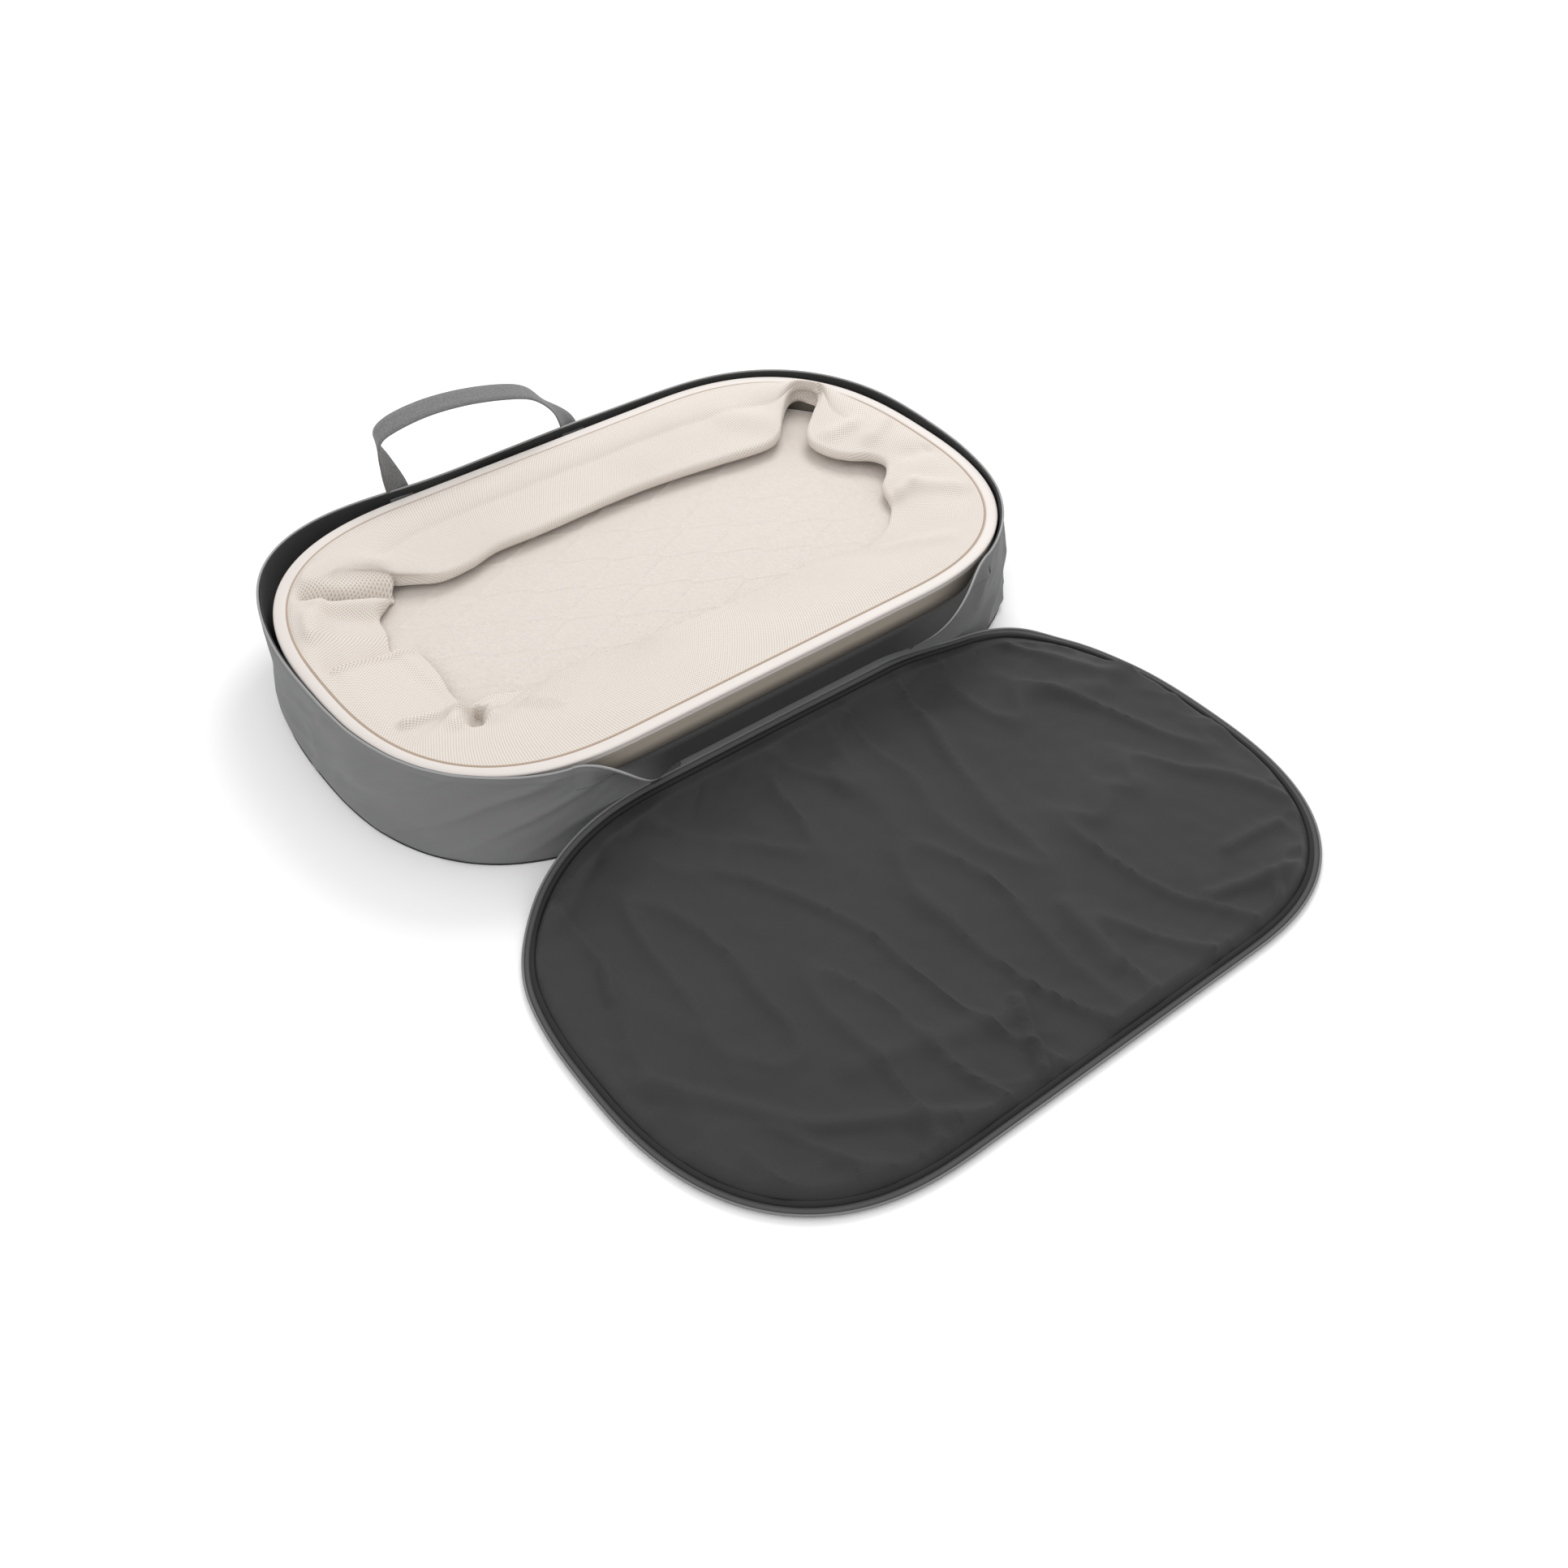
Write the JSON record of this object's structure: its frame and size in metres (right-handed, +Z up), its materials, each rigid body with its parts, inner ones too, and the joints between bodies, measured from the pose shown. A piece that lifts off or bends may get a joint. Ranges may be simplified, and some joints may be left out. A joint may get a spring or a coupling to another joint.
{
  "type": "zip-round carry bag with folded bassinet",
  "caption": "Oval zip-round carry bag lying open, with its lid on the ground and a folded bassinet with mesh walls and a mattress inside.",
  "frame": {"origin": "on the ground under the middle of the bag", "axes": "+X along the bag, -Y towards the opened lid, +Z up"},
  "size_m": [0.893, 1.1086, 0.217],
  "materials": {
    "bag_fabric": "mid-grey plain-weave nylon",
    "bag_lining": "charcoal taffeta lining",
    "board": "dark plastic board",
    "piping": "dark covered cord",
    "zip_tape": "grey zip tape",
    "zip_coil": "light grey nylon coil",
    "zip_metal": "bright zip metal",
    "foam": "soft foam",
    "webbing": "heathered grey webbing",
    "shell": "taupe moulded shell",
    "feet": "dark rubber",
    "mattress": "cream quilted jersey",
    "mesh": "beige spacer mesh",
    "rim_plastic": "off-white satin trim",
    "rim_metal": "bare tube",
    "cord": "fine brown cord"
  },
  "bodies": {
    "bag": {"floor_panel": "bag_fabric", "floor_stiffener": "board", "floor_lining": "bag_lining", "wall_fabric": "bag_fabric", "wall_lining": "bag_lining", "bottom_piping": "piping", "wall_zip_tape": "zip_tape", "wall_zip_coil": "zip_coil", "handle_patches": "webbing"},
    "fold_strip": {"strip_fabric": "bag_fabric", "strip_lining": "bag_lining", "zip_slider": "zip_metal", "zip_stop": "zip_metal"},
    "pull_tab": {"zip_pull": "zip_metal"},
    "lid_apron": {"apron_lining": "bag_lining", "apron_padding": "foam", "apron_outer_panel": "bag_fabric", "apron_zip_tape": "zip_tape", "apron_zip_coil": "zip_coil", "apron_piping": "piping", "hinge_tape": "zip_tape"},
    "lid": {"lid_lining": "bag_lining", "lid_padding": "foam", "lid_outer_panel": "bag_fabric", "lid_zip_tape": "zip_tape", "lid_zip_coil": "zip_coil", "lid_piping": "piping"},
    "handle": {"handle_webbing": "webbing"},
    "basket": {"base_shell": "shell", "base_feet": "feet", "mattress_board": "board", "mattress_core": "foam", "mattress_cover": "mattress"},
    "rim": {"rim_shell": "rim_plastic", "rim_trim": "rim_plastic", "rim_tube": "rim_metal", "rim_connectors": "rim_metal", "mesh_cord": "cord", "mesh_wall": "mesh"}
  },
  "joints": [
    {"name": "lid_open", "type": "hinge", "parent": "bag", "child": "fold_strip", "pos_m": [0, -0.276, 0.089], "axis": [-1, 0, 0], "range_deg": [0, 179.98]},
    {"name": "lid_seam", "type": "hinge", "parent": "fold_strip", "child": "lid_apron", "pos_m": [0, -0.2775, 0.056], "axis": [-1, 0, 0], "range_deg": [0, 51]},
    {"name": "lid_bend", "type": "hinge", "parent": "lid_apron", "child": "lid", "pos_m": [0, -0.31928, 0.006], "axis": [-1, 0, 0], "range_deg": [-51, 0]},
    {"name": "pull_swing", "type": "hinge", "parent": "fold_strip", "child": "pull_tab", "pos_m": [-0.17575, -0.28, 0.06075], "axis": [0, -1, 0], "range_deg": [0, 90]},
    {"name": "handle_swing", "type": "hinge", "parent": "bag", "child": "handle", "pos_m": [-0.0555, 0.281, 0.111], "axis": [1, 0, 0], "range_deg": [-160, 15]},
    {"name": "basket_lift", "type": "slide", "parent": "bag", "child": "basket", "axis": [0, 0, -1], "range_m": [-0.25, 0]},
    {"name": "rim_raise", "type": "slide", "parent": "basket", "child": "rim", "axis": [0, 0, -1], "range_m": [-0.18, 0], "deforming": ["mesh_wall"]}
  ],
  "couplings": [
    {"joint": "lid_seam", "follows": "lid_open", "ratio": 0.28333},
    {"joint": "lid_bend", "follows": "lid_open", "ratio": -0.28333}
  ]
}
